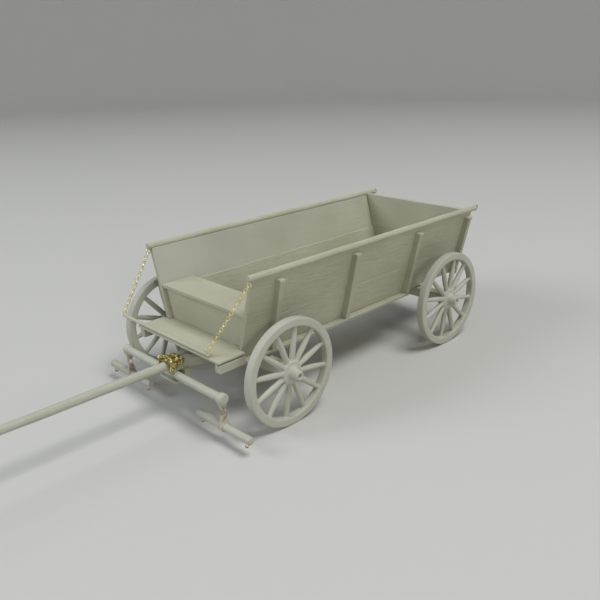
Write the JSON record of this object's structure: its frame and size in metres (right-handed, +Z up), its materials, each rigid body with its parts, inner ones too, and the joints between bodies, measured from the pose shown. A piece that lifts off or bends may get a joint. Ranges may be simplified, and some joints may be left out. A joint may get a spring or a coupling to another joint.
{
  "type": "scale model farm wagon",
  "caption": "Small cast model of a horse-drawn farm wagon: flared box with stakes, spoked wheels, steering front gear, pole and draught bars.",
  "frame": {"origin": "on the ground under the middle of the whole model", "axes": "+X forward along the pole, +Y to the wagon's left, +Z up"},
  "size_m": [0.1752, 0.0564, 0.0367],
  "materials": {
    "resin": "unpainted cast resin, matt",
    "brass": "bright etched sheet and wire"
  },
  "bodies": {
    "wagon_body": {"chain_eyes_left": "brass", "chain_eyes_right": "brass", "chain_left": "brass", "chain_right": "brass", "floor": "resin", "foot_bar": "resin", "foot_board": "resin", "front_board": "resin", "front_bolster": "resin", "kingpin": "resin", "rail_eye_left": "brass", "rail_eye_right": "brass", "rail_left": "resin", "rail_right": "resin", "reach": "resin", "rear_axle": "resin", "rear_bolster": "resin", "seat_board": "resin", "seat_cleat_left": "resin", "seat_cleat_right": "resin", "side_panel_left": "resin", "side_panel_right": "resin", "sill_left": "resin", "sill_right": "resin", "stakes_left": "resin", "stakes_right": "resin", "tailgate": "resin"},
    "front_gear": {"front_axle": "resin", "turntable": "resin", "hounds": "resin", "pole": "resin", "hitch_plate": "brass", "hitch_pin": "brass", "under_plate": "resin"},
    "doubletree": {"doubletree": "resin"},
    "front_wheel_left": {"front_wheel_left": "resin"},
    "rear_wheel_left": {"rear_wheel_left": "resin"},
    "singletree_left": {"singletree_left": "resin", "draught_ring_left": "brass", "trace_eyes_left": "brass"},
    "front_wheel_right": {"front_wheel_right": "resin"},
    "rear_wheel_right": {"rear_wheel_right": "resin"},
    "singletree_right": {"singletree_right": "resin", "draught_ring_right": "brass", "trace_eyes_right": "brass"}
  },
  "joints": [
    {"name": "steer", "type": "hinge", "parent": "wagon_body", "child": "front_gear", "pos_m": [-0.00471, 0, 0.014], "axis": [0, 0, 1], "range_deg": [-20, 2]},
    {"name": "doubletree_swing", "type": "hinge", "parent": "front_gear", "child": "doubletree", "pos_m": [0.01128, 0, 0.0107], "axis": [0, 0, 1], "range_deg": [-6, 6]},
    {"name": "front_wheel_left_spin", "type": "hinge", "parent": "front_gear", "child": "front_wheel_left", "pos_m": [-0.00471, 0.02385, 0.013], "axis": [0, 1, 0], "continuous": true},
    {"name": "rear_wheel_left_spin", "type": "hinge", "parent": "wagon_body", "child": "rear_wheel_left", "pos_m": [-0.06721, 0.02385, 0.0134], "axis": [0, 1, 0], "continuous": true},
    {"name": "singletree_left_swing", "type": "hinge", "parent": "doubletree", "child": "singletree_left", "pos_m": [0.01128, 0.019, 0.0086], "axis": [0, 1, 0], "range_deg": [-20, 20]},
    {"name": "front_wheel_right_spin", "type": "hinge", "parent": "front_gear", "child": "front_wheel_right", "pos_m": [-0.00471, -0.02385, 0.013], "axis": [0, 1, 0], "continuous": true},
    {"name": "rear_wheel_right_spin", "type": "hinge", "parent": "wagon_body", "child": "rear_wheel_right", "pos_m": [-0.06721, -0.02385, 0.0134], "axis": [0, 1, 0], "continuous": true},
    {"name": "singletree_right_swing", "type": "hinge", "parent": "doubletree", "child": "singletree_right", "pos_m": [0.01128, -0.019, 0.0086], "axis": [0, 1, 0], "range_deg": [-20, 20]}
  ]
}
